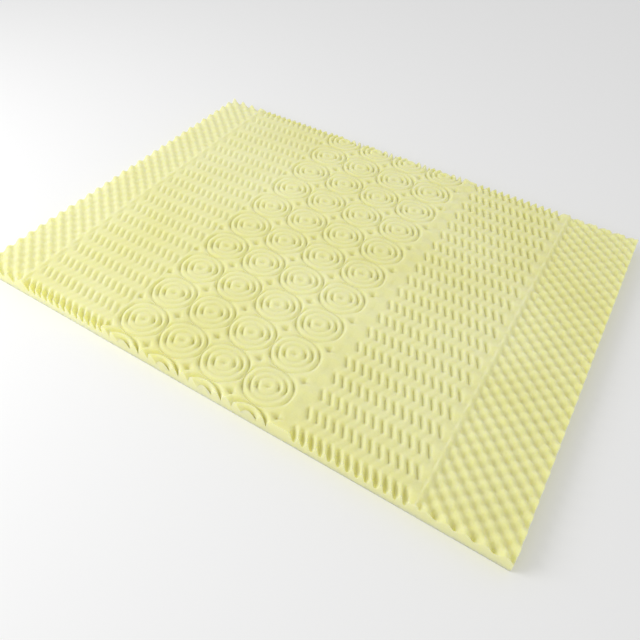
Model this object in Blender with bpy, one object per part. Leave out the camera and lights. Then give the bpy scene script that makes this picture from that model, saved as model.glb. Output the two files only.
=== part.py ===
"""Five-zone convoluted foam mattress topper, lying flat with its profiled face up.

One closed slab of foam in metres, +X along the length, +Y across the width, +Z up, with the
middle of its flat underside at the origin. Its top face has five bands along the length: a
field of egg-crate bumps, twelve zig-zag ridges, a grid of pods with concentric rings, twelve
more zig-zag ridges, and a wider field of egg-crate bumps. The four edges are straight cuts
through that relief.
"""
import math

import bmesh
import bpy

# Slab
LENGTH = 2.000
WIDTH = 1.500
THICKNESS = 0.066
FLOOR = 0.028            # height of the bottoms of the grooves and holes
RIDGE_TOP = 0.064        # height of the zig-zag ridges and of the plain bands beside them
OVERRUN = 0.060          # how far the relief is made past the cut edges

# Egg-crate fields: bumps and holes alternate on a lattice of half steps
EGG_STEP_X = 0.0272
EGG_STEP_Y = 0.0250
LEFT_EGG_LAST_X = 0.1700
RIGHT_EGG_FIRST_X = 1.7420
LEFT_EGG_BUMP_Y = 0.0
RIGHT_EGG_BUMP_Y = 0.0100

# Zig-zag ridges, which run across the width
RIDGES = 12
RIDGE_PITCH = 0.0296
LEFT_WAVE_X = 0.2142     # middle line of the first groove
RIGHT_WAVE_X = 1.3340
ZIGZAG_PERIOD = 0.0763
ZIGZAG_SWING = 0.0082    # to either side of the middle line
ZIGZAG_START_Y = 0.0910
LUMP_SINK = 0.007        # how far a plain band dips between its lumps

# Ring pods
POD_COLUMNS = 4
POD_ROWS = 11            # the first and the last are cut by the long edges
POD_PITCH_X = 0.1680
POD_PITCH_Y = 0.1515
POD_FIRST_X = 0.6760
POD_FIRST_Y = 0.1050 - POD_PITCH_Y
# Distance from the centre in pitches, whether the ring there is a crest, and its sides
POD_RINGS = ((0.21, False, 4), (0.28, True, 8), (0.35, False, 8), (0.42, True, 8),
             (0.49, False, 8))
PAD_CREST = 0.36         # how far along a cell's side its pad is highest, in pitches

BAND_X = (0.1970, 0.5800, 1.2990, 1.7120)   # crest lines of the four plain bands

FOAM_COLOUR = (0.80, 0.78, 0.37, 1.0)
FOAM_ROUGHNESS = 0.92


def clear_scene():
    """Removes every object, so that the script can be run again."""
    for obj in list(bpy.data.objects):
        bpy.data.objects.remove(obj, do_unlink=True)


def foam_material():
    """Pale yellow open-cell foam."""
    material = bpy.data.materials.new("foam")
    material.use_nodes = True
    shader = material.node_tree.nodes["Principled BSDF"]
    shader.inputs["Base Color"].default_value = FOAM_COLOUR
    shader.inputs["Roughness"].default_value = FOAM_ROUGHNESS
    shader.inputs["Metallic"].default_value = 0.0
    material.diffuse_color = FOAM_COLOUR
    return material


def egg_columns(first_x, count, bump_y):
    """Columns of points of an egg-crate field, where high and low points alternate."""
    start = math.floor((-OVERRUN - bump_y) / EGG_STEP_Y)
    stop = math.ceil((WIDTH + OVERRUN - bump_y) / EGG_STEP_Y)
    columns = []
    for i in range(count):
        column = []
        for j in range(start, stop + 1):
            height = THICKNESS if (i + j) % 2 == 0 else FLOOR
            column.append((first_x + i * EGG_STEP_X, bump_y + j * EGG_STEP_Y, height))
        columns.append(column)
    return columns


def zigzag_rows():
    """The places across the width where the ridges turn, with the side that they turn to."""
    half = ZIGZAG_PERIOD / 2
    first_turn = ZIGZAG_START_Y + half / 2
    start = math.floor((-OVERRUN - first_turn) / half)
    stop = math.ceil((WIDTH + OVERRUN - first_turn) / half)
    return [(first_turn + k * half, -1 if k % 2 == 0 else 1) for k in range(start, stop + 1)]


def wave_columns(first_x):
    """Columns of points that follow each groove and each ridge of a zig-zag band."""
    columns = []
    for i in range(2 * RIDGES + 1):
        x = first_x + i * RIDGE_PITCH / 2
        height = FLOOR if i % 2 == 0 else RIDGE_TOP
        columns.append([(x + side * ZIGZAG_SWING, y, height) for y, side in zigzag_rows()])
    return columns


def band_column(x):
    """The crest line of a plain band, with one lump for each period of the zig-zag."""
    return [(x, y, RIDGE_TOP - (LUMP_SINK if side < 0 else 0.0)) for y, side in zigzag_rows()]


def grid_faces(mesh, columns):
    """Joins neighbouring columns with the same number of points, and returns their vertices."""
    rows = [[mesh.verts.new(point) for point in column] for column in columns]
    for left, right in zip(rows, rows[1:]):
        for k in range(len(left) - 1):
            corners = (left[k], right[k], right[k + 1], left[k + 1])
            if left[k].co.z + right[k + 1].co.z >= right[k].co.z + left[k + 1].co.z:
                mesh.faces.new((corners[0], corners[1], corners[2]))
                mesh.faces.new((corners[0], corners[2], corners[3]))
            else:
                mesh.faces.new((corners[0], corners[1], corners[3]))
                mesh.faces.new((corners[1], corners[2], corners[3]))
    return rows


def lace(mesh, left, right, along):
    """Fills the strip between two rows of vertices that have different spacing."""
    i = j = 0
    while i < len(left) - 1 or j < len(right) - 1:
        more_left = i < len(left) - 1
        more_right = j < len(right) - 1
        if more_left and more_right:
            step_left = left[i + 1].co[along] <= right[j + 1].co[along]
        else:
            step_left = more_left
        if step_left:
            mesh.faces.new((left[i], right[j], left[i + 1]))
            i += 1
        else:
            mesh.faces.new((left[i], right[j], right[j + 1]))
            j += 1


class PodField:
    """The grid of pods. Neighbours share the vertices on the sides of their cells."""

    def __init__(self, mesh):
        self.mesh = mesh
        self.shared = {}

    def vertex(self, column, row, height):
        """A vertex at a place counted in pitches from the first pod's centre."""
        key = (round(column * 100), round(row * 100))
        if key not in self.shared:
            x = POD_FIRST_X + column * POD_PITCH_X
            y = POD_FIRST_Y + row * POD_PITCH_Y
            self.shared[key] = self.mesh.verts.new((x, y, height))
        return self.shared[key]

    def rings(self, column, row):
        """The rings round one centre, from the innermost out. The last touches the cell's sides."""
        rings = []
        for radius, crest, sides in POD_RINGS:
            ring = []
            for k in range(sides):
                angle = 2 * math.pi * k / sides
                reach = 0.5 if radius == POD_RINGS[-1][0] and k % 2 == 0 else radius
                ring.append(self.vertex(column + reach * math.cos(angle),
                                        row + reach * math.sin(angle),
                                        THICKNESS if crest else FLOOR))
            rings.append(ring)
        return rings

    def corner_faces(self, column, row, outer, k):
        """The raised pad at one corner of the cell, with the small round hole at its middle."""
        angle = 2 * math.pi * k / len(outer)
        side_x = math.copysign(1, math.cos(angle))
        side_y = math.copysign(1, math.sin(angle))
        hole = self.vertex(column + 0.5 * side_x, row + 0.5 * side_y, FLOOR)
        pads = [self.vertex(column + 0.5 * side_x, row + PAD_CREST * side_y, THICKNESS),
                self.vertex(column + PAD_CREST * side_x, row + 0.5 * side_y, THICKNESS)]
        if side_x * side_y < 0:
            pads.reverse()
        before, at, after = outer[k - 1], outer[k], outer[(k + 1) % len(outer)]
        self.mesh.faces.new((before, pads[0], at))
        self.mesh.faces.new((at, pads[0], pads[1]))
        self.mesh.faces.new((pads[0], hole, pads[1]))
        self.mesh.faces.new((at, pads[1], after))

    def strip(self, inner, outer):
        """Joins two rings, of which the outer has as many sides as the inner or twice as many."""
        ratio = len(outer) // len(inner)
        for k, start in enumerate(outer):
            end = outer[(k + 1) % len(outer)]
            near = inner[(k + ratio - 1) // ratio % len(inner)]
            self.mesh.faces.new((near, start, end))
            following = inner[(k // ratio + 1) % len(inner)]
            if following is not near:
                self.mesh.faces.new((near, end, following))

    def pod(self, column, row):
        """One pod: a boss at its centre, rings round it, and a pad in each corner."""
        rings = self.rings(column, row)
        boss = self.vertex(column, row, THICKNESS)
        for k, vertex in enumerate(rings[0]):
            self.mesh.faces.new((boss, vertex, rings[0][(k + 1) % len(rings[0])]))
        for inner, outer in zip(rings, rings[1:]):
            self.strip(inner, outer)
        for k in range(1, len(rings[-1]), 2):
            self.corner_faces(column, row, rings[-1], k)

    def side(self, column):
        """The vertices along one side of the grid, in order across the width."""
        return sorted((v for v in self.shared.values()
                       if abs(v.co.x - POD_FIRST_X - column * POD_PITCH_X) < 1e-6),
                      key=lambda v: v.co.y)


def top_face(mesh):
    """Builds the whole relief, a little larger than the slab."""
    left_first_x = LEFT_EGG_LAST_X - 7 * EGG_STEP_X
    left_egg = grid_faces(mesh, egg_columns(left_first_x, 8, LEFT_EGG_BUMP_Y))
    right_count = math.ceil((LENGTH + 0.01 - RIGHT_EGG_FIRST_X) / EGG_STEP_X) + 1
    right_egg = grid_faces(mesh, egg_columns(RIGHT_EGG_FIRST_X, right_count, RIGHT_EGG_BUMP_Y))
    left_wave = grid_faces(mesh, [band_column(BAND_X[0])] + wave_columns(LEFT_WAVE_X)
                           + [band_column(BAND_X[1])])
    right_wave = grid_faces(mesh, [band_column(BAND_X[2])] + wave_columns(RIGHT_WAVE_X)
                            + [band_column(BAND_X[3])])
    pods = PodField(mesh)
    for column in range(POD_COLUMNS):
        for row in range(POD_ROWS):
            pods.pod(column, row)
    lace(mesh, left_egg[-1], left_wave[0], along=1)
    lace(mesh, left_wave[-1], pods.side(-0.5), along=1)
    lace(mesh, pods.side(POD_COLUMNS - 0.5), right_wave[0], along=1)
    lace(mesh, right_wave[-1], right_egg[0], along=1)


def cut_edges(mesh):
    """Cuts the relief along the four edges of the slab."""
    cuts = (((0, 0, 0), (-1, 0, 0)), ((LENGTH, 0, 0), (1, 0, 0)),
            ((0, 0, 0), (0, -1, 0)), ((0, WIDTH, 0), (0, 1, 0)))
    for place, outward in cuts:
        everything = mesh.verts[:] + mesh.edges[:] + mesh.faces[:]
        bmesh.ops.bisect_plane(mesh, geom=everything, plane_co=place, plane_no=outward,
                               dist=1e-5, clear_outer=True)


def close_slab(mesh):
    """Adds the four cut faces and the flat underside."""
    rim = [v for v in mesh.verts if v.is_boundary]
    corners = ((0.0, 0.0), (LENGTH, 0.0), (LENGTH, WIDTH), (0.0, WIDTH))
    feet = [mesh.verts.new((x, y, 0.0)) for x, y in corners]
    for k, start in enumerate(feet):
        end = feet[(k + 1) % len(feet)]
        along = 0 if start.co.y == end.co.y else 1
        upper = sorted((v for v in rim if abs(v.co[1 - along] - start.co[1 - along]) < 1e-6),
                       key=lambda v: abs(v.co[along] - end.co[along]))
        mesh.faces.new([start, end] + upper)
    mesh.faces.new(feet[::-1])
    mesh.normal_update()


def foam_slab():
    """The topper as one closed mesh, with its origin in the middle of the underside."""
    mesh = bmesh.new()
    top_face(mesh)
    cut_edges(mesh)
    close_slab(mesh)
    bmesh.ops.triangulate(mesh, faces=mesh.faces[:], ngon_method="BEAUTY")
    bmesh.ops.recalc_face_normals(mesh, faces=mesh.faces[:])
    data = bpy.data.meshes.new("foam_slab")
    mesh.to_mesh(data)
    mesh.free()
    data.materials.append(foam_material())
    slab = bpy.data.objects.new("foam_slab", data)
    slab.location = (-LENGTH / 2, -WIDTH / 2, 0.0)
    bpy.context.collection.objects.link(slab)
    return slab


def main():
    clear_scene()
    foam_slab()


main()
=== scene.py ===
"""Zoned foam mattress topper, lying flat with its profiled face up.

The topper is one slab of pale yellow foam. Its upper face is worked out zone by zone as a
height over a plan: a field of egg-crate bumps at each end, a band of zig-zag ridges beside
each of them, and a middle field of pods with concentric rings. The four sides are flat cuts
through that relief, and the underside is flat.

Sizes are in metres. Plan places are counted from the slab's front left corner, with x along
the length and y across the width, and moved to the CAD part's box at the end.
"""
import logging
import math
from dataclasses import dataclass, field
from enum import IntEnum
from typing import Sequence

import bmesh
import bpy
import numpy as np
from mathutils import Euler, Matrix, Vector


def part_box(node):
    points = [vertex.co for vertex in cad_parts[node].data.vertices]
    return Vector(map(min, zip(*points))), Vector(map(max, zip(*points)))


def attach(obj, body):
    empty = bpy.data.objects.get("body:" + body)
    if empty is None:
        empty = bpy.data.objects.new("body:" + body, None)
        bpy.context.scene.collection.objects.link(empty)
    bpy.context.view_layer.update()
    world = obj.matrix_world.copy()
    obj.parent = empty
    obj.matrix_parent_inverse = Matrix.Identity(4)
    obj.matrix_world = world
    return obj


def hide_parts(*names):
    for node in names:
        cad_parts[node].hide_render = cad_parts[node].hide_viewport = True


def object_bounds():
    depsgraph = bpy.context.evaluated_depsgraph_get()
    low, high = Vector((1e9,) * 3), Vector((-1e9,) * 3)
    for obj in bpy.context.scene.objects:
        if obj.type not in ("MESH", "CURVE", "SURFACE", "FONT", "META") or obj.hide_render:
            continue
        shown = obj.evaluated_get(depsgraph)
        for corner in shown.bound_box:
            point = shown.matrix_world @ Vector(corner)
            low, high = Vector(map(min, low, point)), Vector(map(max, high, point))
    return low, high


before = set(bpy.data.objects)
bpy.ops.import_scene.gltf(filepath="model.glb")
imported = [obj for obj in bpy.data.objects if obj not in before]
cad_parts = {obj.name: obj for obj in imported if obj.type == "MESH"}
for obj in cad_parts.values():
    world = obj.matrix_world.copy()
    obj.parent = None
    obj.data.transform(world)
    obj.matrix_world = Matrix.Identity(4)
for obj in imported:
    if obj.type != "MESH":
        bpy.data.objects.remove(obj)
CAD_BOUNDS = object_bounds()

LOG = logging.getLogger("topper")
TOLERANCE = 1e-6  # points nearer to one another than this are joined
ON_EDGE = 1e-5  # points nearer to an edge than this lie on it


# ---------------------------------------------------------------- shapes and index arrays


class Surface(IntEnum):
    """The surfaces of the slab, which meet at crisp edges."""

    RELIEF = 0
    FRONT = 1
    RIGHT = 2
    BACK = 3
    LEFT = 4
    UNDERSIDE = 5


@dataclass
class Patch:
    """Points with triangles over them.

    Attributes:
        points: one row of x, y, z for each point.
        triangles: one row of three point numbers for each triangle, outward side up.
    """

    points: np.ndarray
    triangles: np.ndarray


def ease(value: np.ndarray) -> np.ndarray:
    """A smooth step: 0 up to 0, 1 from 1 on, and 3t^2 - 2t^3 between.

    Args:
        value: the step's parameter t.

    Returns:
        The step, the same shape as value.
    """
    t = np.clip(value, 0.0, 1.0)
    return t * t * (3.0 - 2.0 * t)


def grid_triangles(points: np.ndarray, columns: int, rows: int) -> np.ndarray:
    """Splits a grid of points into triangles along the shorter diagonal of each cell.

    Args:
        points: the grid's points, column by column.
        columns: how many columns there are.
        rows: how many points a column has.

    Returns:
        Three point numbers for each triangle, facing up where x grows with the columns and
        y with the rows.
    """
    index = np.arange(columns * rows).reshape(columns, rows)
    a, b = index[:-1, :-1].ravel(), index[1:, :-1].ravel()
    c, d = index[1:, 1:].ravel(), index[:-1, 1:].ravel()
    first = np.linalg.norm(points[a] - points[c], axis=1)
    second = np.linalg.norm(points[b] - points[d], axis=1)
    along_first = first <= second
    one = np.where(along_first[:, None], np.stack([a, b, c], 1), np.stack([a, b, d], 1))
    two = np.where(along_first[:, None], np.stack([a, c, d], 1), np.stack([b, c, d], 1))
    return np.concatenate([one, two])


def lace(left: np.ndarray, right: np.ndarray, left_at: np.ndarray, right_at: np.ndarray) -> np.ndarray:
    """Fills the strip between two rows of points with different spacing.

    Each step along either row makes one triangle with the point reached on the other row.

    Args:
        left: point numbers of the left row, in order.
        right: point numbers of the right row, in order.
        left_at: each left point's place along the strip.
        right_at: each right point's place along the strip.

    Returns:
        Three point numbers for each triangle, facing up where the rows run along y.
    """
    reached = np.searchsorted(right_at[1:], left_at[1:], side="left")
    from_left = np.stack([left[:-1], right[reached], left[1:]], 1)
    reached = np.searchsorted(left_at[1:], right_at[1:], side="right")
    reached = np.minimum(reached, len(left) - 1)
    from_right = np.stack([left[reached], right[:-1], right[1:]], 1)
    return np.concatenate([from_left, from_right])


def flat_grid(x: np.ndarray, y: np.ndarray) -> Patch:
    """A grid of points at height 0, facing up.

    Args:
        x: the points' places along x, with one row for each column of the grid.
        y: their places along y, in an array that fits the first one.

    Returns:
        The grid.
    """
    x, y = np.broadcast_arrays(x, y)
    points = np.stack([x.ravel(), y.ravel(), np.zeros(x.size)], 1)
    return Patch(points, grid_triangles(points, *x.shape))


def join(patches: Sequence[Patch]) -> tuple[Patch, np.ndarray]:
    """Puts patches into one, and leaves the points where they meet double.

    Args:
        patches: the patches, in order.

    Returns:
        The whole, and the number in it of each patch's first point.
    """
    starts = np.cumsum([0] + [len(patch.points) for patch in patches[:-1]])
    points = np.concatenate([patch.points for patch in patches])
    triangles = np.concatenate([patch.triangles + start for patch, start in zip(patches, starts)])
    return Patch(points, triangles), starts


def weld(patch: Patch) -> tuple[Patch, np.ndarray]:
    """Joins the points that lie on one another, and drops the triangles that this closes.

    Args:
        patch: the patch with its double points.

    Returns:
        The welded patch, and whether each of the old triangles is still there.
    """
    keys = np.round(patch.points / TOLERANCE).astype(np.int64)
    _, kept, inverse = np.unique(keys, axis=0, return_index=True, return_inverse=True)
    triangles = inverse.reshape(-1)[patch.triangles]
    a, b, c = triangles.T
    real = (a != b) & (b != c) & (c != a)
    return Patch(patch.points[kept], triangles[real]), real


def clip_width(patch: Patch, width: float) -> Patch:
    """Cuts a patch along the slab's front and back edges, y = 0 and y = width.

    Args:
        patch: the patch, which may reach past the edges.
        width: of the slab.

    Returns:
        The part between the edges, all in triangles, with its rims exactly on them.
    """
    mesh = bpy.data.meshes.new("clip")
    mesh.from_pydata(patch.points, [], patch.triangles.tolist())
    work = bmesh.new()
    work.from_mesh(mesh)
    for level, outward in ((0.0, -1.0), (width, 1.0)):
        bmesh.ops.bisect_plane(work, geom=work.verts[:] + work.edges[:] + work.faces[:],
                               plane_co=(0.0, level, 0.0), plane_no=(0.0, outward, 0.0),
                               dist=TOLERANCE, clear_outer=True)
    bmesh.ops.triangulate(work, faces=work.faces[:])
    work.to_mesh(mesh)
    work.free()
    points = np.empty(len(mesh.vertices) * 3)
    mesh.vertices.foreach_get("co", points)
    triangles = np.empty(len(mesh.polygons) * 3, dtype=np.int32)
    mesh.loops.foreach_get("vertex_index", triangles)
    bpy.data.meshes.remove(mesh)
    points = points.reshape(-1, 3)
    for level in (0.0, width):
        points[np.abs(points[:, 1] - level) < ON_EDGE, 1] = level
    return Patch(points, triangles.reshape(-1, 3).astype(np.int64))


# ---------------------------------------------------------------- the relief, zone by zone


@dataclass(frozen=True)
class Relief:
    """Heights that all zones share, and the foam's small unevenness.

    Attributes:
        length: along x.
        width: along y.
        floor: height of the bottoms of the deepest grooves, at the front edge.
        crest: height of the tops of the bumps and rings.
        filled_left: how far the grooves are filled at the left end, as a share.
        filled_right: the same at the right end.
        opening: how far in from a cut edge the grooves deepen towards it.
        open_back: how far they are open at the back edge, where the front edge has 1.
        open_left: the same at the left end.
        taller: how much higher the bumps of the left end stand.
        taller_reach: how far in from the left end they do so.
        swell: height of the foam's slow unevenness.
        ripple: height of its quicker unevenness.
    """

    length: float
    width: float
    floor: float = 0.0275
    crest: float = 0.0660
    filled_left: float = 0.62
    filled_right: float = 0.38
    opening: float = 0.036
    open_back: float = 0.75
    open_left: float = 0.6
    taller: float = 0.0035
    taller_reach: float = 0.16
    swell: float = 0.0007
    ripple: float = 0.0005

    def opened(self, y: np.ndarray) -> np.ndarray:
        """How far the grooves are open across the width, by a smooth step in from each edge.

        Args:
            y: places across the width.

        Returns:
            1 at the front edge, the back edge's share there, and 0 between.
        """
        front = ease(1.0 - y / self.opening)
        back = ease(1.0 - (self.width - y) / self.opening)
        return np.maximum(front, self.open_back * back)

    def lift(self, x: np.ndarray, y: np.ndarray, share: np.ndarray) -> np.ndarray:
        """Turns a share of the relief into points.

        The height is floor + share * (crest - floor), where the share is first raised by the
        part that fills the grooves away from the cut edges and the left end. Sine waves along
        and across the slab, of about a millimetre together, make it as uneven as cut foam, and
        the left end's bumps stand a little higher.

        Args:
            x: places along the length.
            y: places across the width.
            share: 0 in the bottom of a groove, 1 on a crest.

        Returns:
            One row of x, y, z for each point.
        """
        x, y, share = (np.ravel(values) for values in np.broadcast_arrays(x, y, share))
        uneven = (self.swell * np.sin(7.3 * x + 2.1 * y + 0.6) * np.sin(9.1 * y - 3.7 * x)
                  + self.ripple * np.sin(31.0 * x - 17.0 * y + 1.3))
        taller = self.taller * ease(1.0 - x / self.taller_reach)
        rise = self.filled_left + (self.filled_right - self.filled_left) * x / self.length
        rise = rise * (1.0 - self.opened(y)) * (1.0 - self.open_left * ease(1.0 - x / self.opening))
        share = rise + (1.0 - rise) * share
        height = self.floor + share * (self.crest - self.floor + uneven + taller)
        return np.stack([x, y, height], 1)


@dataclass(frozen=True)
class EggField:
    """Egg-crate bumps and holes that alternate like the squares of a draught board.

    Attributes:
        start: where the field starts along x.
        end: where it ends.
        bump_x: a bump's place along x.
        bump_y: the same bump's place across the width.
        fade: the place along x where the holes begin to close towards the plain band.
        band: the place along x where they are closed.
        pitch_x: from bump to bump along x.
        pitch_y: from bump to bump across the width.
        lean: how much more the bumps run together along one diagonal than along the other.
        bottom: height share of the bottoms of the holes, away from the cut edges.
        plain: height share of the plain band.
        samples: points for each pitch.
    """

    start: float
    end: float
    bump_x: float
    bump_y: float
    fade: float
    band: float
    pitch_x: float = 0.0544
    pitch_y: float = 0.0500
    lean: float = 0.35
    bottom: float = 0.22
    plain: float = 0.93
    samples: int = 8

    def share(self, x: np.ndarray, y: np.ndarray, opened: np.ndarray) -> np.ndarray:
        """Height share: two crossed waves, the first stronger by the lean, closed at the band.

        The waves are the cosines of the sum and of the difference of the x and y phases. Their
        sum runs from -2 to 2, and a quarter of it plus a half from 0 to 1.

        Args:
            x: places along the length.
            y: places across the width.
            opened: how far the holes are open there.

        Returns:
            0 in the bottom of a hole, 1 on a bump.
        """
        phase_x = 2.0 * np.pi * (x - self.bump_x) / self.pitch_x
        phase_y = 2.0 * np.pi * (y - self.bump_y) / self.pitch_y
        strong = (1.0 + self.lean) * np.cos(phase_x + phase_y)
        weak = (1.0 - self.lean) * np.cos(phase_x - phase_y)
        bottom = self.bottom * (1.0 - opened)
        bumps = bottom + (1.0 - bottom) * (0.5 + 0.25 * (strong + weak))
        closed = ease((x - self.fade) / (self.band - self.fade))
        return bumps + (self.plain - bumps) * closed

    def patch(self, relief: Relief) -> Patch:
        """The field as an even grid, fitted to the slab's width.

        Args:
            relief: the slab's plan and heights.

        Returns:
            The field's part of the upper face.
        """
        columns = round((self.end - self.start) / self.pitch_x * self.samples) + 1
        rows = round(relief.width / self.pitch_y * self.samples) + 1
        x = np.linspace(self.start, self.end, columns)[:, None]
        y = np.linspace(0.0, relief.width, rows)[None, :]
        points = relief.lift(x, y, self.share(x, y, relief.opened(y)))
        return Patch(points, grid_triangles(points, columns, rows))


@dataclass(frozen=True)
class WaveBand:
    """Ridges that run across the width in a zig-zag, with a plain band on either side.

    Attributes:
        first_groove: middle line of the first groove, along x.
        before: width of the plain band before it, as far as the next zone.
        after: width of the plain band after the last groove.
        ridges: how many ridges stand between the grooves.
        pitch: from groove to groove.
        period: of the zig-zag, across the width.
        swing: of the zig-zag, to either side of the middle line.
        turn: a place across the width where the zig-zag is furthest to the left.
        corner: how sharp the zig-zag's turns are, from 0 for a sine wave to 1 for points.
        fullness: the power that rounds the ridges and narrows the grooves, 1 for even waves.
        cut_fullness: the same power at the cut edges.
        shallow: how far every second leg of the zig-zag is levelled, as a share.
        level: height share to which it is levelled.
        onset: how quickly the levelling sets in along a leg.
        bottom: height share of the bottoms of the grooves, away from the cut edges.
        plain: height share of the crests and the plain bands, before they are levelled or sink.
        dip: how far the plain bands sink between their lumps, as a share of the relief.
        samples: columns of points for each pitch.
        spacing: of the plain bands' columns of points.
        row_places: rows of points in each period, closer together at its turns, in periods.
        clearance: how near a cut edge a row of points may lie.
    """

    first_groove: float
    before: float
    after: float
    ridges: int = 12
    pitch: float = 0.0296
    period: float = 0.0763
    swing: float = 0.0082
    turn: float = 0.1101
    corner: float = 0.94
    fullness: float = 0.6
    cut_fullness: float = 1.7
    shallow: float = 0.9
    level: float = 0.86
    onset: float = 0.9
    bottom: float = 0.22
    plain: float = 0.96
    dip: float = 0.26
    samples: int = 8
    spacing: float = 0.0045
    row_places: tuple[float, ...] = (0.0, 0.09, 0.25, 0.41, 0.5, 0.59, 0.75, 0.91)
    clearance: float = 0.001

    def phase(self, y: np.ndarray) -> np.ndarray:
        """The zig-zag's phase at places across the width, in radians from a left turn."""
        return 2.0 * np.pi * (y - self.turn) / self.period

    def zigzag(self, y: np.ndarray) -> np.ndarray:
        """A triangle wave with rounded turns: the arc sine of a little less than a cosine."""
        return -np.arcsin(self.corner * np.cos(self.phase(y))) / math.asin(self.corner)

    def share(self, across: np.ndarray, y: np.ndarray, opened: np.ndarray) -> np.ndarray:
        """Height share at a distance from the first groove.

        Between the outer grooves, the share is a power of a cosine wave of the distance from
        the nearest groove's middle line, and a sine across the width, eased to steps, levels
        every second leg of the zig-zag. Past the outer grooves the same wall leads to the plain
        band, where a cosine makes one lump for each period of the zig-zag.

        Args:
            across: distance from the first groove's middle line, in pitches.
            y: places across the width.
            opened: how far the grooves are open there.

        Returns:
            0 in the bottom of a groove, 1 on a crest.
        """
        nearest = np.clip(np.round(across), 0, self.ridges)
        distance = np.abs(across - nearest)
        wave = 0.5 - 0.5 * np.cos(2.0 * np.pi * np.minimum(distance, 0.5))
        leg = np.sin(self.phase(y))
        fill = self.shallow * ease(0.5 + self.onset * leg) * (1.0 - opened)
        power = self.fullness + (self.cut_fullness - self.fullness) * opened
        bottom = self.bottom * (1.0 - opened)
        ridge = bottom + (1.0 - bottom) * np.power(wave, power)
        wall = self.level * fill + (1.0 - fill) * ridge
        outside = np.where(across < 0, -across, across - self.ridges)
        side = np.where(across < 0, 1.0, -1.0)
        lump = 0.5 - 0.5 * side * np.cos(self.phase(y))
        sink = self.dip * (1.0 - lump) * ease(outside / 0.5)
        return self.plain * wall - sink * wall

    def patch(self, relief: Relief) -> Patch:
        """The band as a grid whose columns follow the grooves and whose rows hold the turns.

        Args:
            relief: the slab's plan and heights.

        Returns:
            The band's part of the upper face.
        """
        inner = np.arange(self.ridges * self.samples + 1) / self.samples
        before, after = (
            np.linspace(reach / self.pitch, 0.0, round(reach / self.spacing), endpoint=False)
            for reach in (self.before, self.after))
        across = np.concatenate([-before, inner, self.ridges + after[::-1]])[:, None]
        first = math.floor(-self.turn / self.period)
        count = math.ceil(relief.width / self.period) + 2
        turns = first + np.arange(count)[:, None]
        rows = self.turn + self.period * (turns + np.array(self.row_places)).ravel()
        inside = rows[(rows > self.clearance) & (rows < relief.width - self.clearance)]
        y = np.concatenate([[0.0], inside, [relief.width]])[None, :]
        outside = np.maximum(-across * self.pitch / self.before,
                             (across - self.ridges) * self.pitch / self.after)
        follow = 1.0 - ease(outside)
        x = self.first_groove + across * self.pitch + self.swing * follow * self.zigzag(y)
        points = relief.lift(x, y, self.share(across, y, relief.opened(y)))
        return Patch(points, grid_triangles(points, across.shape[0], y.shape[1]))


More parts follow.
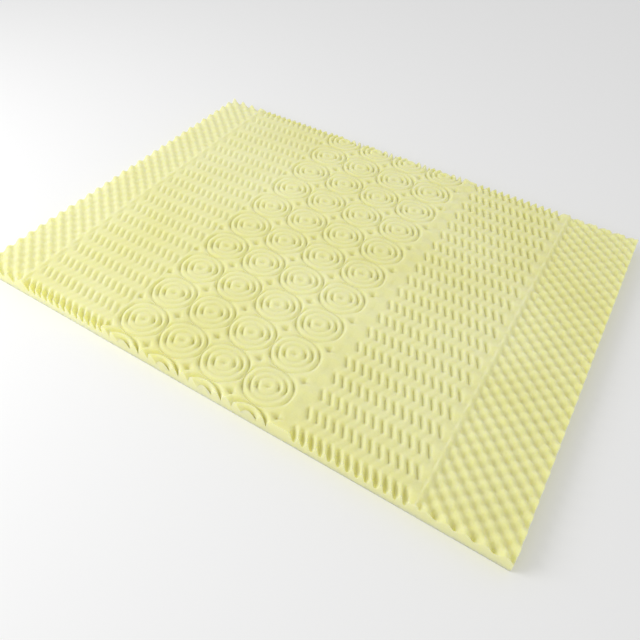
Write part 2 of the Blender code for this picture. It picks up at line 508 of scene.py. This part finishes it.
@dataclass(frozen=True)
class PodField:
    """Round pods in rows and columns, with rings round each and a hole where four meet.

    Attributes:
        first_x: middle of the first column.
        first_y: middle of the first row, part of which lies past the front edge.
        pitch_x: from column to column.
        pitch_y: from row to row.
        columns: how many columns there are.
        rows: how many rows there are, with those that the long edges cut.
        hole: radius of the hole at each corner, in pitches.
        hole_depth: depth of that hole, as a share of the height there.
        ring_places: radii of the dimple and of every crest and groove by turns, in pitches.
        ring_shares: the height share at each of them.
        fullness: the power that rounds the rings and narrows the grooves, 1 for even waves.
        shallow: how far the rings are levelled in front of and behind a pod's middle.
        level: height share to which they are levelled.
        onset: how quickly the levelling sets in round a ring.
        slant: the direction from the middle in which they are levelled most, along x and y.
        even: the part of the levelling that is left where two cells meet.
        even_from: distance from the middle at which the levelling begins to turn even.
        even_over: distance over which it does so.
        dimple: radius within which the levelling fades out.
        border: width of the plain strip on either side that takes the outer rims, in pitches.
        border_steps: how many steps of points there are across that strip.
        rays: where the rays of points cross a half side of a cell, in pitches from its middle.
        inner_circles: radii of the circles of points inside the first crest, in pitches.
        outer_steps: how many steps of points there are from the last groove to the cell's side.
    """

    first_x: float = 0.6760
    first_y: float = 0.1050 - 0.1515
    pitch_x: float = 0.1680
    pitch_y: float = 0.1515
    columns: int = 4
    rows: int = 11
    hole: float = 0.105
    hole_depth: float = 0.9
    ring_places: tuple[float, ...] = (0.0, 0.135, 0.21, 0.28, 0.35, 0.42, 0.49, 0.56)
    ring_shares: tuple[float, ...] = (0.45, 1.0, 0.06, 1.0, 0.04, 1.0, 0.0, 0.97)
    fullness: float = 0.6
    shallow: float = 0.85
    level: float = 0.90
    onset: float = 1.4
    slant: tuple[float, float] = (-0.44, 0.90)
    even: float = 0.6
    even_from: float = 0.41
    even_over: float = 0.08
    dimple: float = 0.12
    border: float = 0.05
    border_steps: int = 4
    rays: tuple[float, ...] = (0.0, 0.1, 0.2, 0.29, 0.37, 0.44, 0.5)
    inner_circles: tuple[float, ...] = (0.0, 0.05, 0.095)
    outer_steps: int = 5

    def profile(self, radius: np.ndarray) -> np.ndarray:
        """Height share of the rings at a distance from the middle.

        From each of their places to the next it follows a power of half a cosine wave.

        Args:
            radius: distance from the pod's middle, in pitches.

        Returns:
            0 in the bottom of a groove, 1 on a crest.
        """
        places = np.array(self.ring_places)
        shares = np.array(self.ring_shares)
        step = np.clip(np.searchsorted(places, radius, side="right") - 1, 0, len(places) - 2)
        along = np.clip((radius - places[step]) / (places[step + 1] - places[step]), 0.0, 1.0)
        rising = shares[step + 1] > shares[step]
        up = 0.5 - 0.5 * np.cos(np.pi * np.where(rising, along, 1.0 - along))
        up = np.power(up, self.fullness)
        low = np.minimum(shares[step], shares[step + 1])
        return low + np.abs(shares[step + 1] - shares[step]) * up

    def share(self, u: np.ndarray, v: np.ndarray, opened: np.ndarray) -> np.ndarray:
        """Height share at a place in a cell: the rings less the corner hole.

        The rings are levelled the more, the nearer their place lies to a line through the
        middle that leans to the left, so that only their left and right arcs stay deep. Where
        two cells meet they are levelled evenly all round.

        Args:
            u: distance from the pod's middle along x, in pitches.
            v: distance from it across the width, in pitches.
            opened: how far the grooves are open there.

        Returns:
            0 in the bottom of a groove, 1 on a crest.
        """
        radius = np.hypot(u, v)
        side, ahead = self.slant
        reach = np.abs(ahead * v + side * u)
        along = ease(self.onset * reach / np.maximum(radius, TOLERANCE))
        outer = ease((np.maximum(np.abs(u), np.abs(v)) - self.even_from) / self.even_over)
        fill = self.shallow * (along + (self.even - along) * outer) * ease(radius / self.dimple)
        fill = fill * (1.0 - opened)
        rings = self.profile(radius) * (1.0 - fill) + self.level * fill
        corner = np.hypot(np.abs(u) - 0.5, np.abs(v) - 0.5)
        depth = (1.0 + np.cos(np.pi * np.clip(corner / self.hole, 0.0, 1.0))) / 2.0
        return rings * (1.0 - self.hole_depth * depth)

    def cell(self) -> Patch:
        """One cell in pitches, on rays from the middle to a square.

        Up to the last groove the points lie on circles. From there they blend to the square.
        From the first crest on, two circles lie between each crest and groove.

        Returns:
            The cell, flat, with its middle at the origin.
        """
        angles = np.arctan(np.array(self.rays) / 0.5)
        angles = np.concatenate([angles, math.pi / 2 - angles[-2:0:-1]])
        angles = np.concatenate([angles + quarter * math.pi / 2 for quarter in range(4)])
        rings = self.ring_places[1:-1]
        thirds = np.interp(np.arange(3 * len(rings) - 2) / 3.0, np.arange(len(rings)), rings)
        circles = np.concatenate([self.inner_circles, np.round(thirds, 4)])
        square = 0.5 / np.maximum(np.abs(np.cos(angles)), np.abs(np.sin(angles)))
        shares = np.arange(1, self.outer_steps + 1)[:, None] / self.outer_steps
        radii = np.concatenate([np.repeat(circles[:, None], len(angles), 1),
                                rings[-1] + (square[None, :] - rings[-1]) * shares])
        u, v = radii * np.cos(angles), radii * np.sin(angles)
        return flat_grid(*(np.concatenate([values, values[:, :1]], 1) for values in (u, v)))

    def strip(self, side: float) -> Patch:
        """The plain strip past one side of an outer cell.

        Args:
            side: -1 for the left side, 1 for the right one.

        Returns:
            The strip in pitches, flat, with the cell's middle at the origin.
        """
        half = np.array(self.rays)
        v = np.concatenate([-half[:0:-1], half])[None, :]
        u = side * (0.5 + self.border * np.linspace(0.0, 1.0, self.border_steps + 1))[:, None]
        return flat_grid(np.sort(u, axis=0), v)

    def patch(self, relief: Relief) -> Patch:
        """The whole field, cut along the slab's front and back edges.

        Args:
            relief: the slab's plan and heights.

        Returns:
            The field's part of the upper face.
        """
        every_column, every_row = np.arange(self.columns), np.arange(self.rows)
        column, row = (values.ravel() for values in np.meshgrid(every_column, every_row))
        units = [(self.cell(), column, row)]
        for side, place in ((-1.0, 0), (1.0, self.columns - 1)):
            units.append((self.strip(side), np.full(self.rows, place), every_row))
        patches = []
        for unit, columns, rows in units:
            u, v = unit.points[:, 0], unit.points[:, 1]
            x = self.first_x + (columns[:, None] + u[None, :]) * self.pitch_x
            y = self.first_y + (rows[:, None] + v[None, :]) * self.pitch_y
            share = self.share(u[None, :], v[None, :], relief.opened(y))
            offsets = np.arange(len(columns)) * len(u)
            triangles = (offsets[:, None, None] + unit.triangles[None]).reshape(-1, 3)
            patches.append(Patch(relief.lift(x, y, share), triangles))
        whole, _ = join(patches)
        welded, _ = weld(whole)
        return clip_width(welded, relief.width)


# ---------------------------------------------------------------- finishes


@dataclass(frozen=True)
class FoamFinish:
    """Open-cell polyurethane foam: matt, pale yellow, with a fine cell grain.

    Attributes:
        pale: linear colour of the lightest foam.
        deep: linear colour of the most yellow foam.
        cloud: how many clouds of colour there are in a metre.
        cloud_range: the clouds' values at which the deep and the pale colour are reached.
        cell: size of the cells.
        speckles: how many speckles there are in a cell's width.
        speckle_range: brightness of the darkest and of the lightest speckles.
        grain: depth of the grain in the surface.
        grain_strength: how much of it shows.
        roughness: of the surface.
        scatter: how far red, green and blue light spread under the surface, as shares.
        scatter_scale: the distance that a share of 1 stands for.
        specular: strength of the gloss.
        sheen: strength of the soft light at the surface's edges.
        sheen_roughness: of that light.
    """

    pale: tuple[float, float, float] = (0.87, 0.86, 0.46)
    deep: tuple[float, float, float] = (0.82, 0.80, 0.36)
    cloud: float = 2.2
    cloud_range: tuple[float, float] = (0.30, 0.70)
    cell: float = 0.0016
    speckles: float = 0.35
    speckle_range: tuple[float, float] = (0.94, 1.05)
    grain: float = 0.0004
    grain_strength: float = 0.35
    roughness: float = 0.93
    scatter: tuple[float, float, float] = (1.0, 0.95, 0.45)
    scatter_scale: float = 0.030
    specular: float = 0.15
    sheen: float = 0.15
    sheen_roughness: float = 0.6

    def material(self) -> bpy.types.Material:
        """Builds the material on Object coordinates.

        Returns:
            The material. Slow noise mixes the two colours, a finer noise speckles them, and a
            cell pattern with a noise drives the bump.
        """
        material = bpy.data.materials.new("foam")
        material.use_nodes = True
        nodes, links = material.node_tree.nodes, material.node_tree.links
        shader = nodes["Principled BSDF"]
        place = nodes.new("ShaderNodeTexCoord")

        cloud = nodes.new("ShaderNodeTexNoise")
        cloud.inputs["Scale"].default_value = self.cloud
        cloud.inputs["Detail"].default_value = 2.0
        links.new(place.outputs["Object"], cloud.inputs["Vector"])
        colour = nodes.new("ShaderNodeValToRGB")
        tones = zip(colour.color_ramp.elements, self.cloud_range, (self.deep, self.pale))
        for stop, position, tone in tones:
            stop.position = position
            stop.color = (*tone, 1.0)
        links.new(cloud.outputs["Fac"], colour.inputs["Fac"])

        speckle = nodes.new("ShaderNodeTexNoise")
        speckle.inputs["Scale"].default_value = self.speckles / self.cell
        speckle.inputs["Detail"].default_value = 3.0
        links.new(place.outputs["Object"], speckle.inputs["Vector"])
        shade = nodes.new("ShaderNodeMapRange")
        darkest, lightest = self.speckle_range
        shade.inputs["To Min"].default_value = darkest
        shade.inputs["To Max"].default_value = lightest
        links.new(speckle.outputs["Fac"], shade.inputs["Value"])
        dressed = nodes.new("ShaderNodeVectorMath")
        dressed.operation = "SCALE"
        links.new(colour.outputs["Color"], dressed.inputs[0])
        links.new(shade.outputs["Result"], dressed.inputs["Scale"])
        links.new(dressed.outputs["Vector"], shader.inputs["Base Color"])

        cells = nodes.new("ShaderNodeTexVoronoi")
        cells.inputs["Scale"].default_value = 1.0 / self.cell
        links.new(place.outputs["Object"], cells.inputs["Vector"])
        mixed = nodes.new("ShaderNodeMath")
        mixed.operation = "ADD"
        links.new(cells.outputs["Distance"], mixed.inputs[0])
        links.new(speckle.outputs["Fac"], mixed.inputs[1])
        bump = nodes.new("ShaderNodeBump")
        bump.inputs["Strength"].default_value = self.grain_strength
        bump.inputs["Distance"].default_value = self.grain
        links.new(mixed.outputs["Value"], bump.inputs["Height"])
        links.new(bump.outputs["Normal"], shader.inputs["Normal"])

        shader.inputs["Roughness"].default_value = self.roughness
        shader.inputs["Subsurface Weight"].default_value = 1.0
        shader.inputs["Subsurface Radius"].default_value = self.scatter
        shader.inputs["Subsurface Scale"].default_value = self.scatter_scale
        shader.inputs["Specular IOR Level"].default_value = self.specular
        shader.inputs["Sheen Weight"].default_value = self.sheen
        shader.inputs["Sheen Roughness"].default_value = self.sheen_roughness
        return material


@dataclass(frozen=True)
class FloorFinish:
    """Plain pale floor.

    Attributes:
        colour: linear colour.
        roughness: of the surface.
        specular: strength of the gloss.
    """

    colour: tuple[float, float, float] = (0.93, 0.93, 0.93)
    roughness: float = 0.9
    specular: float = 0.1

    def material(self) -> bpy.types.Material:
        """Builds the plain material.

        Returns:
            The material, the same all over.
        """
        material = bpy.data.materials.new("floor")
        material.use_nodes = True
        shader = material.node_tree.nodes["Principled BSDF"]
        shader.inputs["Base Color"].default_value = (*self.colour, 1.0)
        shader.inputs["Roughness"].default_value = self.roughness
        shader.inputs["Specular IOR Level"].default_value = self.specular
        return material


# ---------------------------------------------------------------- the slab


@dataclass
class Slab:
    """The topper: the relief's zones joined into one face, four cut sides and an underside.

    Attributes:
        corner: the slab's front left lower corner in the part's frame.
        relief: the slab's plan and heights.
        left_bumps: the shorter egg-crate field.
        left_waves: the ridges beside it.
        pods: the middle field.
        right_waves: the ridges past the pods.
        right_bumps: the longer egg-crate field.
        finish: the foam.
        wall_foot: height of the row of points that the sides' fine upper part ends at.
        tile: size of the underside's squares.
    """

    corner: np.ndarray
    relief: Relief
    left_bumps: EggField
    left_waves: WaveBand
    pods: PodField
    right_waves: WaveBand
    right_bumps: EggField
    finish: FoamFinish = field(default_factory=FoamFinish)
    wall_foot: float = 0.016
    tile: float = 0.05

    def top(self) -> Patch:
        """The whole relief. Neighbouring zones are laced together along their plain bands.

        Returns:
            The upper face, from end to end.
        """
        zones = [zone.patch(self.relief) for zone in (
            self.left_bumps, self.left_waves, self.pods, self.right_waves, self.right_bumps)]
        whole, starts = join(zones)
        points, triangles = whole.points, [whole.triangles]
        rows = []
        for zone, start in zip(zones, starts):
            x = zone.points[:, 0]
            ends = []
            for edge in (x.min(), x.max()):
                row = np.flatnonzero(np.abs(x - edge) < ON_EDGE)
                ends.append(start + row[np.argsort(zone.points[row, 1])])
            rows.append(ends)
        for (_, left), (right, _) in zip(rows, rows[1:]):
            triangles.append(lace(left, right, points[left, 1], points[right, 1]))
        return Patch(points, np.concatenate(triangles))

    def side(self, top: Patch, surface: Surface) -> Patch:
        """One cut side: straight down from the relief's rim, then laced to the foot.

        Args:
            top: the relief.
            surface: which side it is.

        Returns:
            The side, facing outward.
        """
        along = 0 if surface in (Surface.FRONT, Surface.BACK) else 1
        spans = (self.relief.length, self.relief.width)
        level = spans[1 - along] if surface in (Surface.RIGHT, Surface.BACK) else 0.0
        rim = np.flatnonzero(np.abs(top.points[:, 1 - along] - level) < ON_EDGE)
        rim = top.points[rim[np.argsort(top.points[rim, along])]]
        middle = rim.copy()
        middle[:, 2] = self.wall_foot
        count = round(spans[along] / self.tile) + 1
        foot = np.zeros((count, 3))
        foot[:, along] = np.linspace(0.0, spans[along], count)
        foot[:, 1 - along] = level
        size = len(rim)
        points = np.concatenate([rim, middle, foot])
        upper, lower, base = np.split(np.arange(2 * size + count), [size, 2 * size])
        triangles = np.concatenate([
            np.stack([lower[:-1], lower[1:], upper[1:]], 1),
            np.stack([lower[:-1], upper[1:], upper[:-1]], 1),
            lace(lower, base, points[lower, along], points[base, along])])
        if surface in (Surface.BACK, Surface.LEFT):
            triangles = triangles[:, ::-1]
        return Patch(points, triangles)

    def underside(self) -> Patch:
        """The flat underside as a grid of squares.

        Returns:
            The underside, facing down.
        """
        columns = round(self.relief.length / self.tile) + 1
        rows = round(self.relief.width / self.tile) + 1
        x = np.linspace(0.0, self.relief.length, columns)[:, None]
        y = np.linspace(0.0, self.relief.width, rows)[None, :]
        grid = flat_grid(x, y)
        return Patch(grid.points, grid.triangles[:, ::-1])

    def closed(self) -> tuple[Patch, np.ndarray]:
        """Joins all surfaces into one closed shell.

        Returns:
            The shell, and the surface that each triangle belongs to.
        """
        top = self.top()
        patches = {Surface.RELIEF: top, Surface.UNDERSIDE: self.underside()}
        for surface in (Surface.FRONT, Surface.RIGHT, Surface.BACK, Surface.LEFT):
            patches[surface] = self.side(top, surface)
        kinds = np.concatenate([np.full(len(patch.triangles), int(surface))
                                for surface, patch in patches.items()])
        whole, _ = join(list(patches.values()))
        shell, real = weld(whole)
        return shell, kinds[real]

    def build(self) -> bpy.types.Object:
        """Makes the slab's object, with crisp edges where its surfaces meet.

        Returns:
            The object, dressed and tied to the CAD part.
        """
        shell, kinds = self.closed()
        mesh = bpy.data.meshes.new("foam_slab_relief")
        mesh.vertices.add(len(shell.points))
        mesh.vertices.foreach_set("co", (shell.points + self.corner).ravel())
        mesh.loops.add(shell.triangles.size)
        mesh.loops.foreach_set("vertex_index", shell.triangles.ravel().astype(np.int32))
        mesh.polygons.add(len(shell.triangles))
        mesh.polygons.foreach_set("loop_start", np.arange(0, shell.triangles.size, 3, dtype=np.int32))
        mesh.update(calc_edges=True)
        mesh.polygons.foreach_set("use_smooth", np.ones(len(shell.triangles), dtype=bool))
        edge_of_loop = np.empty(shell.triangles.size, dtype=np.int32)
        mesh.loops.foreach_get("edge_index", edge_of_loop)
        lowest = np.full(len(mesh.edges), max(Surface))
        highest = np.full(len(mesh.edges), min(Surface))
        np.minimum.at(lowest, edge_of_loop, np.repeat(kinds, 3))
        np.maximum.at(highest, edge_of_loop, np.repeat(kinds, 3))
        crisp = mesh.attributes.new("sharp_edge", "BOOLEAN", "EDGE")
        crisp.data.foreach_set("value", lowest != highest)
        mesh.validate()
        mesh.materials.append(self.finish.material())
        slab = bpy.data.objects.new("topper_slab", mesh)
        bpy.context.scene.collection.objects.link(slab)
        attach(slab, "root")
        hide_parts("foam_slab")
        LOG.info("slab: %d triangles", len(shell.triangles))
        return slab


# ---------------------------------------------------------------- the studio


@dataclass(frozen=True)
class SoftBox:
    """One square soft light.

    Attributes:
        name: of the light.
        place: where it stands.
        target: the point that it faces.
        size: of its side.
        power: in watts.
        colour: linear colour.
    """

    name: str
    place: tuple[float, float, float]
    target: tuple[float, float, float]
    size: float
    power: float
    colour: tuple[float, float, float] = (1.0, 1.0, 1.0)

    def build(self) -> bpy.types.Object:
        """Adds the light to the scene, facing its target.

        Returns:
            The light's object.
        """
        data = bpy.data.lights.new(self.name, "AREA")
        data.size = self.size
        data.energy = self.power
        data.color = self.colour
        light = bpy.data.objects.new(self.name, data)
        light.location = self.place
        facing = Vector(self.target) - Vector(self.place)
        light.rotation_euler = facing.to_track_quat("-Z", "Y").to_euler()
        bpy.context.scene.collection.objects.link(light)
        return light


@dataclass
class Studio:
    """Floor, soft light and camera.

    Attributes:
        centre: the middle of the topper's underside.
        floor_size: of the square floor.
        floor_gap: from the topper down to the floor.
        ambient: strength of the even light from all round.
        boxes: the soft lights.
        camera_offset: the camera's place from the centre.
        camera_turn: the camera's turn about x, y and z, in degrees.
        frame_width: of the camera, in millimetres.
        lens: focal length on that frame, in millimetres.
        shift: of the frame, in frame widths.
        floor_finish: the floor's material.
    """

    centre: np.ndarray
    floor_size: float = 60.0
    floor_gap: float = 0.0005
    ambient: float = 0.71
    boxes: Sequence[SoftBox] = (
        SoftBox("key", (-2.7, -2.2, 2.5), (0.0, 0.0, 0.0), 2.2, 70.0),
    )
    camera_offset: tuple[float, float, float] = (0.8422, -1.5438, 1.5689)
    camera_turn: tuple[float, float, float] = (44.361, -1.532, 32.042)
    frame_width: float = 36.0
    lens: float = 34.105
    shift: tuple[float, float] = (0.0176, -0.0277)
    floor_finish: FloorFinish = field(default_factory=FloorFinish)

    def build_floor(self) -> bpy.types.Object:
        """Lays a plain square floor just under the topper.

        Returns:
            The floor's object.
        """
        half = self.floor_size / 2
        base = float(self.centre[2]) - self.floor_gap
        corners = np.array([[-half, -half], [half, -half], [half, half], [-half, half]])
        points = np.column_stack([corners + self.centre[:2], np.full(4, base)])
        mesh = bpy.data.meshes.new("floor")
        mesh.from_pydata(points.tolist(), [], [(0, 1, 2, 3)])
        mesh.materials.append(self.floor_finish.material())
        floor = bpy.data.objects.new("floor", mesh)
        bpy.context.scene.collection.objects.link(floor)
        return floor

    def build_light(self) -> None:
        """Adds the even surrounding light and the soft boxes."""
        world = bpy.data.worlds.new("studio")
        world.use_nodes = True
        background = world.node_tree.nodes["Background"]
        background.inputs["Color"].default_value = (1.0, 1.0, 1.0, 1.0)
        background.inputs["Strength"].default_value = self.ambient
        bpy.context.scene.world = world
        for box in self.boxes:
            box.build()

    def build_camera(self) -> bpy.types.Object:
        """Adds the camera and makes it the scene's.

        Returns:
            The camera's object.
        """
        data = bpy.data.cameras.new("camera")
        data.lens = self.lens
        data.sensor_width = self.frame_width
        data.shift_x, data.shift_y = self.shift
        camera = bpy.data.objects.new("camera", data)
        camera.location = Vector(self.centre) + Vector(self.camera_offset)
        camera.rotation_euler = Euler([math.radians(turn) for turn in self.camera_turn], "XYZ")
        bpy.context.scene.collection.objects.link(camera)
        bpy.context.scene.camera = camera
        return camera

    def build(self) -> None:
        """Builds the whole studio."""
        self.build_floor()
        self.build_light()
        self.build_camera()
        bpy.context.scene.view_settings.view_transform = "Standard"
        LOG.info("studio: floor, %d soft lights and a camera", len(self.boxes))


def make_slab() -> Slab:
    """Lays the five zones out in the CAD part's box.

    Returns:
        The slab, ready to build.
    """
    low, high = (np.array(corner, dtype=float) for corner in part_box("foam_slab"))
    length, width = (high - low)[:2]
    relief = Relief(length=float(length), width=float(width))
    return Slab(
        corner=low,
        relief=relief,
        left_bumps=EggField(start=0.0, end=0.1880, bump_x=0.0068, bump_y=0.0,
                            fade=0.1640, band=0.1880, bottom=0.40),
        left_waves=WaveBand(first_groove=0.2142, before=0.0210, after=0.0110,
                            bottom=0.50),
        pods=PodField(),
        right_waves=WaveBand(first_groove=1.3340, before=0.0420, after=0.0300),
        right_bumps=EggField(start=1.7240, end=relief.length, bump_x=1.7520, bump_y=0.0100,
                             fade=1.7420, band=1.7240))


def main() -> None:
    """Builds the topper and the studio round it."""
    logging.basicConfig(level=logging.INFO, format="%(name)s %(message)s")
    make_slab().build()
    low, high = (np.array(corner, dtype=float) for corner in CAD_BOUNDS)
    Studio(centre=np.array([*(low + high)[:2] / 2, low[2]])).build()


if __name__ == "__main__":
    main()
